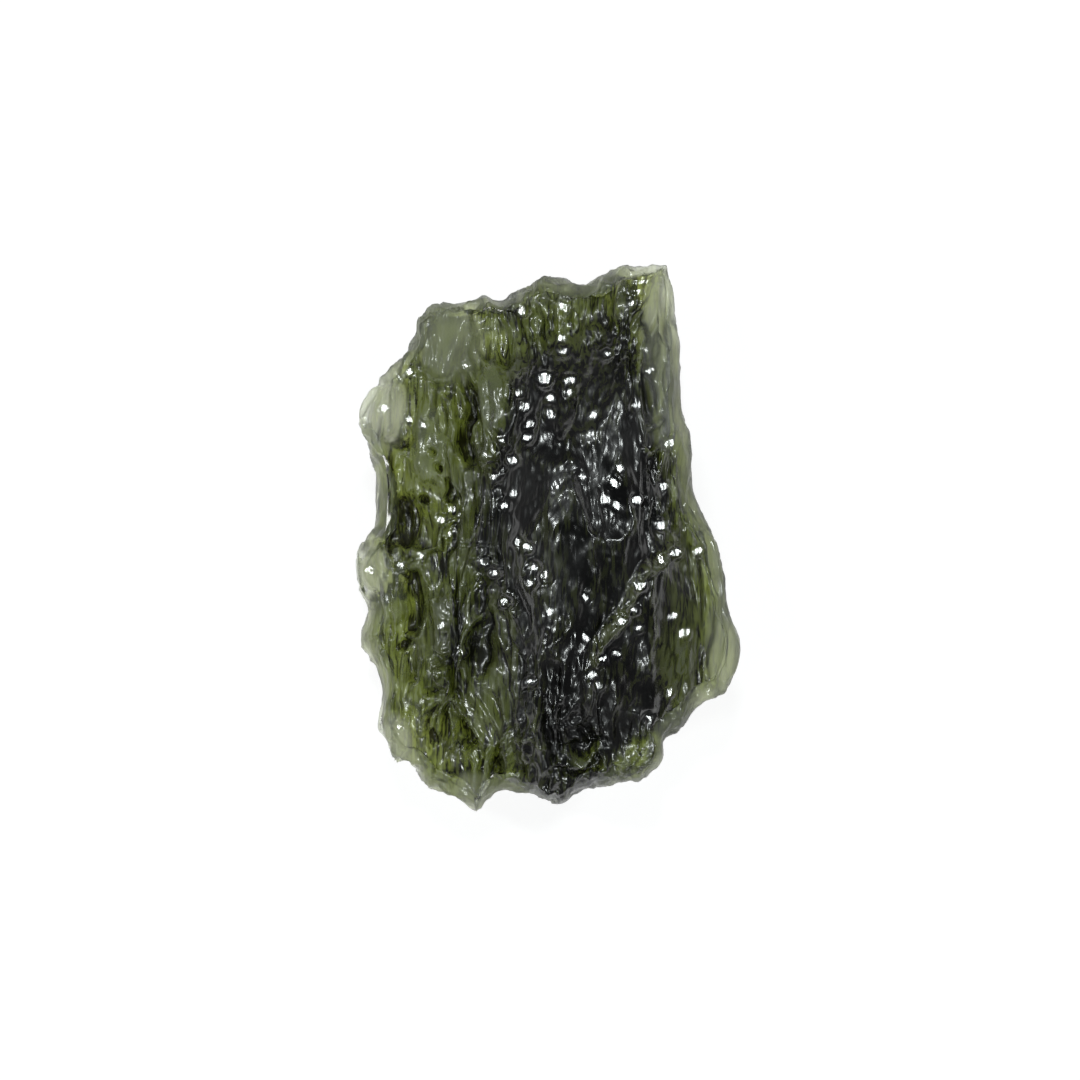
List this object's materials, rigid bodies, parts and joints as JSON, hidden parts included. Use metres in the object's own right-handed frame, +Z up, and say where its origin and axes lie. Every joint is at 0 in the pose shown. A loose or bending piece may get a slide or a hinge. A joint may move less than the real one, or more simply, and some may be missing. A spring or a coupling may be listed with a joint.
{
  "type": "moldavite",
  "caption": "Rough moldavite: a flat-lying lump of natural green glass, thick and dark in the middle and thin at the edges, fluted and pitted all over.",
  "frame": {"origin": "centre of the stone's plan, on the surface it lies on", "axes": "+Z up from the flat spot, +Y along the stone's length towards its horn, +X across it"},
  "size_m": [0.014, 0.02, 0.0072],
  "materials": {
    "moldavite_glass": "natural etched glass, glossy, deep olive green"
  },
  "bodies": {
    "root": {"moldavite": "moldavite_glass"}
  },
  "joints": []
}
